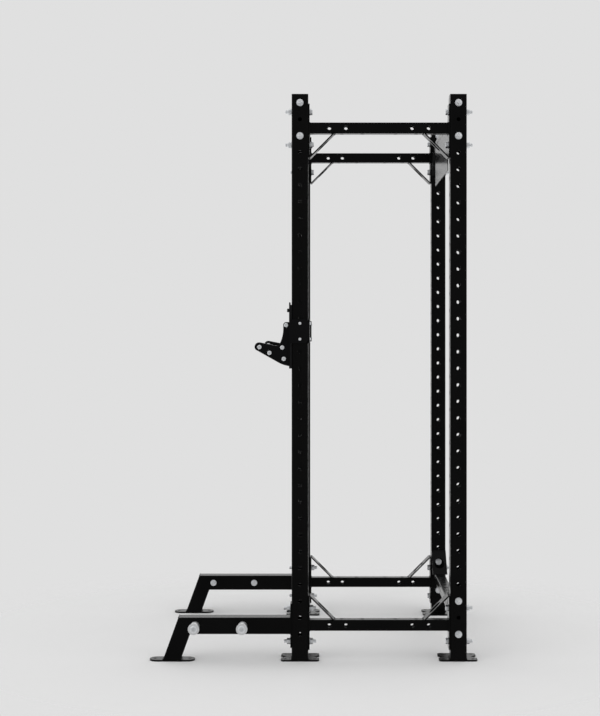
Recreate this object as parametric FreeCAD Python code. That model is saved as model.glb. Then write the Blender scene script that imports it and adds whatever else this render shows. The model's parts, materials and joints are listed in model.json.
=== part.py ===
import FreeCAD, Part
import math
import os
from FreeCAD import Vector

# Power cage: four punched uprights, bolted rails, two front legs and two sliding J-cups.
# Millimetres. +X runs from the front to the rear, +Y to the left-hand side, +Z up.
# The origin is on the floor, under the middle of the whole outline.

# ---- Uprights ----
PITCH = 75.0              # hole spacing, which also places the rails and their bolts
TUBE = 75.0               # outside of the square tube of the uprights and legs
TUBE_WALL = 3.0
TUBE_CORNER = 5.0
INNER_CORNER = 1.0        # least radius of the corners inside a tube
UPRIGHT_LENGTH = 2553.0
CAGE_DEPTH = 716.0        # front to rear, between the upright centres
CAGE_WIDTH = 1165.0       # side to side, between the upright centres
HOLE_D = 17.5
CAP_RIM = 2.0
CAP_PLUG = 18.0
CAP_CORNER = 3.0
CAP_GAP = 0.2             # between a cap's plug and the inside of the tube
FOOT_ROOM = 153.0         # least height of a bottom rail's centre above the upright's end

# ---- Base plates of the uprights ----
BASE_THICK = 8.0
BASE_DEPTH = 174.0
BASE_WIDTH = 145.0
BASE_CORNER = 16.0
NOTCH_DEPTH = 26.0
NOTCH_WIDTH = 62.0
ANCHOR_D = 14.0
ANCHOR_EDGE = 20.0        # anchor hole centre to the plate's edges

# ---- Rails ----
RAIL = 50.0
RAIL_WALL = 3.0
RAIL_CORNER = 4.0
SIDE_TOP_STEP = 2.0       # rail centres below the top of the tube, in pitches
REAR_TOP_STEP = 1.5
REAR_HOLES = 4            # either side of a rear rail's middle
SIDE_FACE_HOLES = (2.0, 3.0)  # either side of a side rail's middle, in pitches
SIDE_TOP_HOLES = (1.0, 2.25)
FLANGE_THICK = 6.0
FLANGE_CORNER = 5.0
FLANGE_SHORT_END = 34.0   # flange beyond its bolt, on the plain side
FLANGE_LONG_END = 60.0    # flange beyond its bolt, on the gusset side
STRAP_THICK = 6.0
STRAP_RUN = 4.0           # level start of a gusset strap before its bend
SLOT_LENGTH = 68.0
SLOT_WIDTH = 50.0
BAR_D = 32.0              # pull-up bar
BAR_WALL = 3.0
PANEL_HEIGHT = 231.0      # plain panel on the front of the rear top rail
PANEL_THICK = 4.0

# ---- Bolts through the tubes ----
BOLT_D = 16.0
THREAD_D = 14.7           # mean diameter, which the plain threaded ends and nuts are made to
THREAD_LENGTH = 42.0
BOLT_STUB = 14.0          # thread beyond the nut
THREAD_RUN = 12.0         # thread of a leg's stud inside the faces that it clamps
HEAD_ACROSS = 24.0
HEAD_HEIGHT = 10.0
HEAD_CHAMFER = 30.0       # slope of the turned corners of heads and nuts, from their faces
HEAD_FACE_STEP = 0.6      # radial, flat of a hexagon to the edge of its round face
BOLT_POINT = 1.5          # chamfer on a bolt's end
NUT_HEIGHT = 13.0
WASHER_D = 32.0
WASHER_HEIGHT = 3.0
WASHER_GAP = 0.5          # radial, washer to shank
THREAD_GAP = 0.05         # radial, nut to thread

# ---- Front legs ----
LEG_REACH = 579.0         # front upright's centre to the strut's centre on its foot
STRUT_ANGLE = 20.0        # from the vertical
LEG_FLANGE_THICK = 6.0
LEG_FLANGE_END = 25.0     # flange beyond its bolts
LEG_FOOT_LENGTH = 206.0
LEG_FOOT_THICK = 8.0
LEG_FOOT_HOLE_EDGE = 24.0
PEG_PLACES = (259.0, 474.0)   # ahead of the front upright's centre
PEG_D = 42.0
PEG_WALL = 4.0
PEG_LENGTH = 72.0
PEG_DISC_D = 51.0
PEG_DISC_THICK = 6.0
PEG_BOLT_D = 16.0
PEG_BOLT_STUB = 5.0       # thread beyond the nut
PEG_HEAD_D = 32.0
PEG_HEAD_HEIGHT = 8.0
PEG_SOCKET = 10.0
PEG_NUT_HEIGHT = 13.0
PEG_NUT_ACROSS = 24.0
SOCKET_SHARE = 0.6        # depth of a button head's hexagonal socket, of the head's height
ROUND_SHARE = 0.7         # radius of a button head's rim, of the head's height

# ---- J-cups, measured from the pull pin's axis ----
JCUP_STEP = 13            # hole that the pull pin is in, in pitches below the top
SLIDE_GAP = 0.5           # between the liners and the upright
LINER = 5.5               # front liner
SIDE_LINER = 3.0
FRONT_PLATE = 5.5
PLATE_TOP = 36.0
LINER_TOP = 25.0
PLATE_BOTTOM = 263.0
SIDE_PLATE = 8.0
COLLAR_DROP = 94.5        # pin's axis down to the collar's middle
COLLAR_HEIGHT = 107.0
COLLAR_CHAMFER = 12.0
KEEPER = 6.5
SCREW_SPREAD = 71.0
SCREW_D = 6.0
SCREW_HEAD_D = 13.0
SCREW_HEAD_HEIGHT = 4.0
SCREW_SOCKET = 4.0
SCREW_LENGTH = 20.0
SCREW_TIP_GAP = 1.0       # tip of a side liner's screw below the liner's sliding face
CHEEK = 6.0
CRADLE_WIDTH = 76.0       # outside the cheeks
CHEEK_INSET = 3.0         # cheeks below the cradle block's surface
CHEEK_BOLT_D = 12.0
CHEEK_HEAD_D = 20.0
CHEEK_HEAD_HEIGHT = 5.5
CHEEK_SOCKET = 8.0
CHEEK_NUT_ACROSS = 18.0
CHEEK_NUT_HEIGHT = 8.0
CHEEK_BOLT_STUB = 2.0     # thread beyond the nut

# ---- Cradle of a J-cup: (forward of the front plate's face, below the pull pin's axis) ----
CRADLE_TOP = 53.0
CRADLE_CROWN = 13.0       # radius of the block's upper corner
CRADLE_WALL = 26.5        # forward to the wall that the bar rests against
WALL_DROP = 83.0          # down to where the wall starts to curve forward
WALL_RADIUS = 150.0
ELBOW_RADIUS = 12.0       # where the wall meets the arm
ARM_LIFT = 11.0           # slope of the arm towards its lip, in degrees
CRADLE_LIP = (134.0, 145.0)
CRADLE_NOSE = (156.0, 164.5)  # middle of the arc from the lip to the chin
CRADLE_CHIN = (150.0, 178.5)
CRADLE_KNEE = (55.0, 232.0)
CRADLE_SHIN = (28.0, 245.0)   # middle of the arc from the knee to the heel
CRADLE_HEEL = (0.0, 252.0)
CHEEK_BOLTS = ((13.0, 67.0), (31.0, 168.0), (134.0, 166.0), (89.0, 192.0), (24.0, 219.0))

# ---- Pull pin ----
NOSE_D = 16.5
NOSE_PAST_WALL = 1.0      # nose beyond the inside of the upright's wall
NOSE_LENGTH = 7.5
NOSE_RECESS = 5.5
POCKET_GAP = 0.4          # radial, nose to its pocket
PIN_D = 8.0
PIN_GAP = 0.05            # radial, running fit in the front plate
KNOB_D = 15.0
KNOB_LENGTH = 9.5
KNOB_ROUND = 1.0
NOSE_CHAMFER = 1.0
KNOB_GAP = 0.3            # knob to the front plate
PLATE_WEB = 2.5           # front plate left at the bottom of the pocket
SPRING_WIRE = 1.2
SPRING_TURNS = 4
SPRING_GAP = 0.3          # spring to the nose's recess and to its seats

# ---- Worked out from the above ----
HALF = TUBE / 2
TOP = BASE_THICK + UPRIGHT_LENGTH
BOTTOM_STEP = int((UPRIGHT_LENGTH - FOOT_ROOM) / PITCH)
REAR_BOTTOM_STEP = BOTTOM_STEP - 0.5
HOLE_ROWS = BOTTOM_STEP + 1
FLANGE_SHORT = PITCH + FLANGE_SHORT_END
FLANGE_LONG = PITCH + FLANGE_LONG_END
SIDE_Y = CAGE_WIDTH / 2
NUT_END = WASHER_HEIGHT + NUT_HEIGHT + BOLT_STUB     # bolt's end beyond an upright's face
BOLT_LENGTH = WASHER_HEIGHT + FLANGE_THICK + TUBE + NUT_END
PANEL_WIDTH = 2 * (REAR_HOLES + 1) * PITCH
FRONT_REACH = LEG_REACH + LEG_FOOT_LENGTH / 2
REAR_REACH = max(HALF + NUT_END, BASE_DEPTH / 2)
FRONT_X = (FRONT_REACH - CAGE_DEPTH - REAR_REACH) / 2
REAR_X = FRONT_X + CAGE_DEPTH
X, Y, Z = Vector(1, 0, 0), Vector(0, 1, 0), Vector(0, 0, 1)
SIDES = (("left", 1), ("right", -1))
OVER = 1.0                # cutting tools run past the faces that they cut
SAME_POINT = 1e-6         # points closer than this are one point


# ---- Basic shapes ----
def step_height(steps):
    """Height of a hole or rail that many pitches below the top of the tubes."""
    return TOP - steps * PITCH


def box(low, high):
    size = Vector(*high) - Vector(*low)
    return Part.makeBox(size.x, size.y, size.z, Vector(*low))


def rod(radius, start, direction, length):
    return Part.makeCylinder(radius, length, start, direction)


def ring(outer, inner, start, direction, length):
    return rod(outer, start, direction, length).cut(rod(inner, start, direction, length))


def laid_along(shape, start, direction):
    """Turn a shape built along +Z to another direction and move it to its start."""
    placed = shape.copy()
    placed.Placement = FreeCAD.Placement(start, FreeCAD.Rotation(Z, direction))
    return placed


def hexagon_bar(across, start, direction, height):
    corner = across / math.sqrt(3)
    points = [Vector(corner * math.cos(math.radians(a)), corner * math.sin(math.radians(a)), 0)
              for a in range(0, 361, 60)]
    bar = Part.Face(Part.makePolygon(points)).extrude(Vector(0, 0, height))
    return laid_along(bar, start, direction)


def hexagon(across, start, direction, height):
    """Hexagonal head or nut, its corners chamfered at both ends as they are when turned."""
    corner = across / math.sqrt(3)
    turned = Part.makeCylinder(corner, height)
    rims = [edge for edge in turned.Edges if edge.isClosed() and isinstance(edge.Curve, Part.Circle)]
    across_cut = corner - across / 2 + HEAD_FACE_STEP
    turned = turned.makeChamfer(across_cut * math.tan(math.radians(HEAD_CHAMFER)), across_cut, rims)
    return hexagon_bar(across, start, direction, height).common(laid_along(turned, start, direction))


def rounded_bar(width, depth, corner, length):
    """Rectangular bar along +Z whose four long edges are rounded."""
    bar = Part.makeBox(width, depth, length, Vector(-width / 2, -depth / 2, 0))
    return bar.makeFillet(corner, edges_along(bar, Z))


def edges_along(shape, direction):
    return [edge for edge in shape.Edges
            if abs(abs(edge.tangentAt(edge.FirstParameter).dot(direction)) - 1) < SAME_POINT]


def square_tube(size, wall, corner, start, direction, length):
    outside = rounded_bar(size, size, corner, length)
    inner = size - 2 * wall
    inside = rounded_bar(inner, inner, max(corner - wall, INNER_CORNER), length)
    return laid_along(outside.cut(inside), start, direction)


def round_ended(length, width, height):
    """Bar along +Z whose section is length by width, with its short sides full rounds."""
    half = (length - width) / 2
    middle = Part.makeBox(2 * half, width, height, Vector(-half, -width / 2, 0))
    ends = [Part.makeCylinder(width / 2, height, Vector(x, 0, 0)) for x in (-half, half)]
    return middle.fuse(ends).removeSplitter()


def prism(points, low_y, high_y):
    """Outline of (x, z) points, extruded from low_y to high_y."""
    wire = Part.makePolygon([Vector(x, low_y, z) for x, z in points + points[:1]])
    return Part.Face(wire).extrude(Vector(0, high_y - low_y, 0))


def left_and_right(shape):
    """A shape and its mirror image across the middle plane of a symmetric piece."""
    return [shape, shape.mirror(Vector(0, 0, 0), Y)]


def moved(shape, offset):
    placed = shape.copy()
    placed.translate(offset)
    return placed


def save(name, shapes):
    solids = shapes if isinstance(shapes, list) else [shapes]
    shape = solids[0] if len(solids) == 1 else Part.makeCompound(solids)
    shape.exportStep("parts/" + name + ".step")


# ---- Fasteners ----
def washer_pair(under_head, far_face, direction):
    return [ring(WASHER_D / 2, BOLT_D / 2 + WASHER_GAP, place, direction, WASHER_HEIGHT)
            for place in (under_head, far_face)]


def frame_nut(seat, direction):
    nut = hexagon(HEAD_ACROSS, seat, direction, NUT_HEIGHT)
    return nut.cut(rod(THREAD_D / 2 + THREAD_GAP, seat, direction, NUT_HEIGHT))


def bolt_set(start, direction, grip):
    """Hex bolt whose head washer seats on start, with its washers and its nut."""
    under_head = start - direction * WASHER_HEIGHT
    far_face = start + direction * grip
    head = hexagon(HEAD_ACROSS, under_head - direction * HEAD_HEIGHT, direction, HEAD_HEIGHT)
    shank = rod(BOLT_D / 2, under_head, direction, BOLT_LENGTH - THREAD_LENGTH)
    thread = rod(THREAD_D / 2, under_head, direction, BOLT_LENGTH)
    thread = thread.makeChamfer(BOLT_POINT, [thread.Edges[0]])
    nut = frame_nut(far_face + direction * WASHER_HEIGHT, direction)
    bolt = head.fuse([shank, thread]).removeSplitter()
    return {"bolts": [bolt], "washers": washer_pair(under_head, far_face, direction), "nuts": [nut]}


def stud_set(start, direction, grip):
    """Stud with a washer and a nut at both ends, the near washer seated on start."""
    near_seat = start - direction * WASHER_HEIGHT
    far_face = start + direction * grip
    far_seat = far_face + direction * WASHER_HEIGHT
    end = NUT_HEIGHT + BOLT_STUB
    length = grip + 2 * (WASHER_HEIGHT + end)
    thread = rod(THREAD_D / 2, near_seat - direction * end, direction, length)
    thread = thread.makeChamfer(BOLT_POINT, [thread.Edges[0], thread.Edges[2]])
    shank = rod(BOLT_D / 2, start + direction * THREAD_RUN, direction, grip - 2 * THREAD_RUN)
    nuts = [frame_nut(near_seat, direction * -1), frame_nut(far_seat, direction)]
    return {"bolts": [thread.fuse(shank).removeSplitter()],
            "washers": washer_pair(near_seat, far_face, direction), "nuts": nuts}


def button_bolt(head_size, socket, seat, outward, radius, length):
    """Button-head bolt or screw: a round-rimmed head with a hexagonal socket, and its shank."""
    diameter, height = head_size
    head = rod(diameter / 2, seat, outward, height)
    head = head.makeFillet(ROUND_SHARE * height, [head.Edges[0]])
    depth = SOCKET_SHARE * height
    head = head.cut(hexagon_bar(socket, seat + outward * (height - depth), outward, depth + OVER))
    return head.fuse(rod(radius, seat, outward * -1, length)).removeSplitter()


def frame_fasteners():
    """Every bolt through an upright, sorted into bolts, washers and nuts."""
    sorted_out = {"bolts": [], "washers": [], "nuts": []}
    inner = HALF + FLANGE_THICK
    places = []
    for side in (SIDE_Y, -SIDE_Y):
        outward = Y if side > 0 else Y * -1
        for offset in (-PITCH, PITCH):
            top, bottom = step_height(SIDE_TOP_STEP) + offset, step_height(BOTTOM_STEP) + offset
            grip = TUBE + FLANGE_THICK
            leg_start = Vector(FRONT_X - HALF - LEG_FLANGE_THICK, side, bottom)
            places += [(bolt_set, Vector(FRONT_X + inner, side, top), X * -1, grip),
                       (bolt_set, Vector(REAR_X - inner, side, top), X, grip),
                       (bolt_set, Vector(REAR_X - inner, side, bottom), X, grip),
                       (stud_set, leg_start, X, grip + LEG_FLANGE_THICK)]
            for x, step in ((FRONT_X, REAR_TOP_STEP), (REAR_X, REAR_TOP_STEP),
                            (REAR_X, REAR_BOTTOM_STEP)):
                start = Vector(x, side, step_height(step) + offset) - outward * inner
                places.append((bolt_set, start, outward, grip))
    for fastener, start, direction, grip in places:
        for kind, solids in fastener(start, direction, grip).items():
            sorted_out[kind] += solids
    return sorted_out


# ---- Uprights ----
def upright():
    """One upright on the Z axis, with staggered holes through both pairs of faces."""
    tube = square_tube(TUBE, TUBE_WALL, TUBE_CORNER, Z * BASE_THICK, Z, UPRIGHT_LENGTH)
    through = TUBE + 2 * OVER
    holes = []
    for row in range(HOLE_ROWS):
        side_start = Vector(0, -HALF - OVER, step_height(row + 0.5))
        front_start = Vector(-HALF - OVER, 0, step_height(row + 1))
        holes += [rod(HOLE_D / 2, side_start, Y, through), rod(HOLE_D / 2, front_start, X, through)]
    return tube.cut(holes)


def base_plate():
    """Plate of the left-hand upright: flush with its outer face, reaching into the cage."""
    low_y = HALF - BASE_WIDTH
    plate = box((-BASE_DEPTH / 2, low_y, 0), (BASE_DEPTH / 2, HALF, BASE_THICK))
    plate = plate.makeFillet(BASE_CORNER, edges_along(plate, Z))
    middle_y = HALF - BASE_WIDTH / 2
    cuts = []
    for end in (-1, 1):
        edge_x = end * (BASE_DEPTH / 2 + OVER)
        tip_x = end * (BASE_DEPTH / 2 - NOTCH_DEPTH)
        notch = [Vector(edge_x, middle_y - NOTCH_WIDTH / 2, 0), Vector(tip_x, middle_y, 0),
                 Vector(edge_x, middle_y + NOTCH_WIDTH / 2, 0)]
        cuts.append(Part.Face(Part.makePolygon(notch + notch[:1])).extrude(Z * BASE_THICK))
        for y in (low_y + ANCHOR_EDGE, HALF - ANCHOR_EDGE):
            centre = Vector(end * (BASE_DEPTH / 2 - ANCHOR_EDGE), y, 0)
            cuts.append(rod(ANCHOR_D / 2, centre, Z, BASE_THICK))
    return plate.cut(cuts)


def end_cap():
    rim = rounded_bar(TUBE, TUBE, TUBE_CORNER, CAP_RIM)
    inside = TUBE - 2 * TUBE_WALL - 2 * CAP_GAP
    plug = rounded_bar(inside, inside, CAP_CORNER, CAP_PLUG + CAP_RIM)
    return moved(rim, Z * TOP).fuse(moved(plug, Z * (TOP - CAP_PLUG))).removeSplitter()


# ---- Rails, built along +X from an upright's face, gussets below ----
def flange(low, high):
    """End plate from low to high on the rail's centre, with its two bolt holes."""
    plate = box((0, -HALF, low), (FLANGE_THICK, HALF, high))
    plate = plate.makeFillet(FLANGE_CORNER, edges_along(plate, X))
    holes = [rod(HOLE_D / 2, Vector(0, 0, z), X, FLANGE_THICK) for z in (-PITCH, PITCH)]
    return plate.cut(holes)


def gusset_strap():
    """Bent strap from the flange's long end up to the rail, slotted in line with the bolt."""
    rise = FLANGE_LONG - RAIL / 2
    slant = STRAP_THICK * math.sqrt(2)
    bend = STRAP_RUN + STRAP_THICK - slant
    outline = [(FLANGE_THICK, -FLANGE_LONG), (FLANGE_THICK + STRAP_RUN, -FLANGE_LONG),
               (FLANGE_THICK + STRAP_RUN + rise, -RAIL / 2),
               (FLANGE_THICK + STRAP_RUN + rise - slant, -RAIL / 2),
               (FLANGE_THICK + bend, -FLANGE_LONG + STRAP_THICK),
               (FLANGE_THICK, -FLANGE_LONG + STRAP_THICK)]
    strap = prism(outline, -HALF, HALF)
    slope = Vector(1, 0, 1).normalize()
    centre_x = FLANGE_THICK + STRAP_RUN + FLANGE_LONG - PITCH - slant / 2
    slot = round_ended(SLOT_LENGTH, SLOT_WIDTH, 4 * STRAP_THICK)
    slot.translate(Z * (-2 * STRAP_THICK))
    turn = FreeCAD.Rotation(Y, -math.degrees(math.atan2(slope.z, slope.x)))
    slot.Placement = FreeCAD.Placement(Vector(centre_x, 0, -PITCH), turn).multiply(slot.Placement)
    return strap.cut(slot)


def both_ends(shape, length):
    """A piece at a rail's start, and its mirror image at the rail's end."""
    return [shape, shape.mirror(Vector(length / 2, 0, 0), X)]


def rail_tube(length, face_holes, top_holes):
    """Rail between its flanges, with holes at those distances either side of its middle."""
    tube = square_tube(RAIL, RAIL_WALL, RAIL_CORNER, X * FLANGE_THICK, X,
                       length - 2 * FLANGE_THICK)
    through = RAIL + 2 * OVER
    holes = []
    for sign in (-1, 1):
        for distance in face_holes:
            start = Vector(length / 2 + sign * distance, -through / 2, 0)
            holes.append(rod(HOLE_D / 2, start, Y, through))
        for distance in top_holes:
            start = Vector(length / 2 + sign * distance, 0, -through / 2)
            holes.append(rod(HOLE_D / 2, start, Z, through))
    return tube.cut(holes)


def rail_pieces(length, face_holes, top_holes):
    flanges = both_ends(flange(-FLANGE_LONG, FLANGE_SHORT), length)
    return {"tube": [rail_tube(length, face_holes, top_holes)], "flanges": flanges,
            "gussets": both_ends(gusset_strap(), length)}


def placed_rail(pieces, start, direction, upside_down):
    """Put a rail's pieces in place; upside down, its gussets stand above it."""
    placed = {}
    for kind, solids in pieces.items():
        turned = [s.mirror(Vector(0, 0, 0), Z) for s in solids] if upside_down else solids
        placed[kind] = []
        for solid in turned:
            copy = solid.copy()
            copy.Placement = FreeCAD.Placement(start, FreeCAD.Rotation(X, direction)).multiply(
                copy.Placement)
            placed[kind].append(copy)
    return placed


def save_side_rails():
    length = CAGE_DEPTH - TUBE
    pieces = rail_pieces(length, [steps * PITCH for steps in SIDE_FACE_HOLES],
                         [steps * PITCH for steps in SIDE_TOP_HOLES])
    for side, sign in SIDES:
        flanges, gussets = [], []
        for level, step in (("top", SIDE_TOP_STEP), ("bottom", BOTTOM_STEP)):
            start = Vector(FRONT_X + HALF, sign * SIDE_Y, step_height(step))
            rail = placed_rail(pieces, start, X, level == "bottom")
            save("side_rail_" + level + "_" + side, rail["tube"])
            flanges += rail["flanges"]
            gussets += rail["gussets"]
        save("side_rail_flanges_" + side, flanges)
        save("side_rail_gussets_" + side, gussets)


def save_rear_rails():
    length = CAGE_WIDTH - TUBE
    face_holes = [(row + 1) * PITCH for row in range(REAR_HOLES)]
    top_holes = [(row + 0.5) * PITCH for row in range(REAR_HOLES)]
    pieces = rail_pieces(length, face_holes, top_holes)
    flanges, gussets = [], []
    for level, step in (("top", REAR_TOP_STEP), ("bottom", REAR_BOTTOM_STEP)):
        start = Vector(REAR_X, HALF - SIDE_Y, step_height(step))
        rail = placed_rail(pieces, start, Y, level == "bottom")
        save("rear_rail_" + level, rail["tube"])
        flanges += rail["flanges"]
        gussets += rail["gussets"]
    save("rear_rail_flanges", flanges)
    save("rear_rail_gussets", gussets)
    save("rear_panel", rear_panel(face_holes))


def rear_panel(hole_distances):
    """Plain panel on the front of the rear top rail, pierced in line with the rail's holes."""
    back = REAR_X - RAIL / 2
    centre = step_height(REAR_TOP_STEP)
    top = centre + RAIL / 2
    plate = box((back - PANEL_THICK, -PANEL_WIDTH / 2, top - PANEL_HEIGHT),
                (back, PANEL_WIDTH / 2, top))
    plate = plate.makeFillet(FLANGE_CORNER, edges_along(plate, X))
    holes = [rod(HOLE_D / 2, Vector(back - PANEL_THICK, sign * distance, centre), X, PANEL_THICK)
             for sign in (-1, 1) for distance in hole_distances]
    return plate.cut(holes)


def save_pull_up_bar():
    """Round bar across the front, on two flange plates."""
    length = CAGE_WIDTH - TUBE
    bar = ring(BAR_D / 2, BAR_D / 2 - BAR_WALL, X * FLANGE_THICK, X, length - 2 * FLANGE_THICK)
    flanges = both_ends(flange(-FLANGE_SHORT, FLANGE_SHORT), length)
    start = Vector(FRONT_X, HALF - SIDE_Y, step_height(REAR_TOP_STEP))
    placed = placed_rail({"bar": [bar], "flanges": flanges}, start, Y, False)
    save("pull_up_bar", placed["bar"])
    save("pull_up_bar_flanges", placed["flanges"])


# ---- Front legs, built at y = 0 with the front upright's centre at x = 0 ----
def leg_beam_and_strut():
    """Level beam mitred into a strut that leans back up from its foot."""
    lean = math.tan(math.radians(STRUT_ANGLE))
    half_cut = HALF / math.cos(math.radians(STRUT_ANGLE))
    floor = LEG_FOOT_THICK
    centre = step_height(BOTTOM_STEP)
    top, bottom = centre + HALF, centre - HALF
    outer = -LEG_REACH - half_cut
    inner = -LEG_REACH + half_cut
    elbow_top = (outer + (top - floor) * lean, top)
    elbow_bottom = (inner + (bottom - floor) * lean, bottom)
    root = -HALF - LEG_FLANGE_THICK
    width = HALF + OVER
    beam_outline = prism([(root, bottom), (root, top), elbow_top, elbow_bottom], -width, width)
    strut_outline = prism([(outer, floor), elbow_top, elbow_bottom, (inner, floor)], -width, width)
    beam = square_tube(TUBE, TUBE_WALL, TUBE_CORNER, Vector(root, 0, centre), X * -1,
                       LEG_REACH + TUBE)
    up = Vector(math.sin(math.radians(STRUT_ANGLE)), 0, math.cos(math.radians(STRUT_ANGLE)))
    start = Vector(-LEG_REACH, 0, floor) - up * TUBE
    strut = square_tube(TUBE, TUBE_WALL, TUBE_CORNER, start, up, (top - floor) / up.z + 2 * TUBE)
    bolt_hole = PEG_BOLT_D / 2 + WASHER_GAP
    holes = [rod(bolt_hole, Vector(-place, -width, centre), Y, 2 * width) for place in PEG_PLACES]
    return beam.common(beam_outline).cut(holes), strut.common(strut_outline)


def leg_flange():
    half_height = PITCH + LEG_FLANGE_END
    centre = step_height(BOTTOM_STEP)
    plate = box((-HALF - LEG_FLANGE_THICK, -HALF, centre - half_height),
                (-HALF, HALF, centre + half_height))
    plate = plate.makeFillet(FLANGE_CORNER, edges_along(plate, X))
    start_x = -HALF - LEG_FLANGE_THICK
    holes = [rod(HOLE_D / 2, Vector(start_x, 0, centre + z), X, LEG_FLANGE_THICK)
             for z in (-PITCH, PITCH)]
    return plate.cut(holes)


def leg_foot():
    """Floor plate of the strut, with round ends and an anchor hole at each."""
    plate = moved(round_ended(LEG_FOOT_LENGTH, TUBE, LEG_FOOT_THICK), X * -LEG_REACH)
    reach = LEG_FOOT_LENGTH / 2 - LEG_FOOT_HOLE_EDGE
    holes = [rod(ANCHOR_D / 2, Vector(-LEG_REACH + sign * reach, 0, 0), Z, LEG_FOOT_THICK)
             for sign in (-1, 1)]
    return plate.cut(holes)


def pegs():
    """Pegs on the left-hand leg's outer side: sleeves, end discs, and bolts with their nuts."""
    centre = step_height(BOTTOM_STEP)
    sleeves, discs, bolts = [], [], []
    hole = PEG_BOLT_D / 2 + WASHER_GAP
    for place in PEG_PLACES:
        root = Vector(-place, HALF, centre)
        tip = root + Y * PEG_LENGTH
        sleeves.append(ring(PEG_D / 2, PEG_D / 2 - PEG_WALL, root, Y, PEG_LENGTH))
        discs.append(ring(PEG_DISC_D / 2, hole, tip, Y, PEG_DISC_THICK))
        seat = tip + Y * PEG_DISC_THICK
        inner_face = Vector(-place, -HALF, centre)
        nut_seat = inner_face - Y * WASHER_HEIGHT
        length = (TUBE + PEG_LENGTH + PEG_DISC_THICK + WASHER_HEIGHT + PEG_NUT_HEIGHT
                  + PEG_BOLT_STUB)
        bolt = button_bolt((PEG_HEAD_D, PEG_HEAD_HEIGHT), PEG_SOCKET, seat, Y, PEG_BOLT_D / 2, length)
        nut = hexagon(PEG_NUT_ACROSS, nut_seat, Y * -1, PEG_NUT_HEIGHT)
        nut = nut.cut(rod(PEG_BOLT_D / 2 + THREAD_GAP, nut_seat, Y * -1, PEG_NUT_HEIGHT))
        washer = ring(WASHER_D / 2, hole, nut_seat, Y, WASHER_HEIGHT)
        bolts += [bolt, nut, washer]
    return {"peg_sleeves": sleeves, "peg_discs": discs, "peg_bolts": bolts}


def save_legs():
    beam, strut = leg_beam_and_strut()
    pieces = {"leg_beam": [beam], "leg_strut": [strut], "leg_flange": [leg_flange()],
              "leg_foot": [leg_foot()]}
    for side, sign in SIDES:
        for name, solids in pieces.items():
            save(name + "_" + side, [moved(s, Vector(FRONT_X, sign * SIDE_Y, 0)) for s in solids])
    for name, solids in pegs().items():
        left = [moved(s, Vector(FRONT_X, SIDE_Y, 0)) for s in solids]
        save(name, left + [s.mirror(Vector(0, 0, 0), Y) for s in left])


# ---- J-cups, built on the upright's centre line with the pull pin's axis at z = 0 ----
LINER_FACE = -HALF - SLIDE_GAP            # back of the front liner, next to the upright
PLATE_BACK = LINER_FACE - LINER
PLATE_FACE = PLATE_BACK - FRONT_PLATE
KEEPER_FACE = HALF + SLIDE_GAP
SIDE_FACE = HALF + SLIDE_GAP              # inner face of the side liners
SIDE_PLATE_IN = SIDE_FACE + SIDE_LINER
SIDE_PLATE_OUT = SIDE_PLATE_IN + SIDE_PLATE
COLLAR_Z = -COLLAR_DROP
SCREW_HEIGHTS = (COLLAR_Z - SCREW_SPREAD / 2, COLLAR_Z + SCREW_SPREAD / 2)


def from_plate(place):
    """Point of the cradle that far forward of the front plate's face and below the pin's axis."""
    return Vector(PLATE_FACE - place[0], 0, -place[1])


def cradle_elbow(inset):
    """Lip of the arm, and the point where the arm's line meets the wall's arc."""
    lift = math.radians(ARM_LIFT)
    inward = Vector(math.cos(lift), 0, -math.sin(lift))
    lip = from_plate(CRADLE_LIP) - Vector(math.sin(lift), 0, math.cos(lift)) * inset
    centre = from_plate((CRADLE_WALL + WALL_RADIUS, WALL_DROP))
    radius = WALL_RADIUS + inset
    along = (centre - lip).dot(inward)
    aside = (centre - lip - inward * along).Length
    return lip, lip + inward * (along + math.sqrt(radius ** 2 - aside ** 2)), centre, radius


def cradle_outline(inset):
    """Side view of the cradle, its upper surfaces set back by inset, as one closed wire."""
    lip, elbow, centre, radius = cradle_elbow(inset)
    wall = centre.x + radius
    top = from_plate((0, CRADLE_TOP + inset))
    crown = Vector(wall + CRADLE_CROWN, 0, top.z - CRADLE_CROWN)
    slant = X * -1 + Z
    wall_end = centre + X * radius
    half_way = ((wall_end + elbow) / 2 - centre).normalize() * radius
    chin, knee, heel = from_plate(CRADLE_CHIN), from_plate(CRADLE_KNEE), from_plate(CRADLE_HEEL)
    edges = [
        Part.LineSegment(top, crown + Z * CRADLE_CROWN),
        Part.Arc(crown + Z * CRADLE_CROWN, crown + slant.normalize() * CRADLE_CROWN,
                 crown - X * CRADLE_CROWN),
        Part.LineSegment(crown - X * CRADLE_CROWN, wall_end),
        Part.Arc(wall_end, centre + half_way, elbow),
        Part.LineSegment(elbow, lip),
        Part.Arc(lip, from_plate(CRADLE_NOSE), chin),
        Part.LineSegment(chin, knee),
        Part.Arc(knee, from_plate(CRADLE_SHIN), heel),
        Part.LineSegment(heel, top)]
    return Part.Wire([edge.toShape() for edge in edges])


def cheek_bolt_holes(radius):
    return [rod(radius, from_plate(place) - Y * CRADLE_WIDTH, Y, 2 * CRADLE_WIDTH)
            for place in CHEEK_BOLTS]


def cradle_plate(inset, low_y, high_y):
    outline = cradle_outline(inset)
    outline.translate(Y * low_y)
    plate = Part.Face(outline).extrude(Y * (high_y - low_y))
    elbow = cradle_elbow(inset)[1] + Y * low_y
    corner = [edge for edge in edges_along(plate, Y)
              if any(vertex.Point.isEqual(elbow, SAME_POINT) for vertex in edge.Vertexes)]
    plate = plate.makeFillet(ELBOW_RADIUS + inset, corner)
    return plate.cut(cheek_bolt_holes(CHEEK_BOLT_D / 2 + WASHER_GAP))


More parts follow.
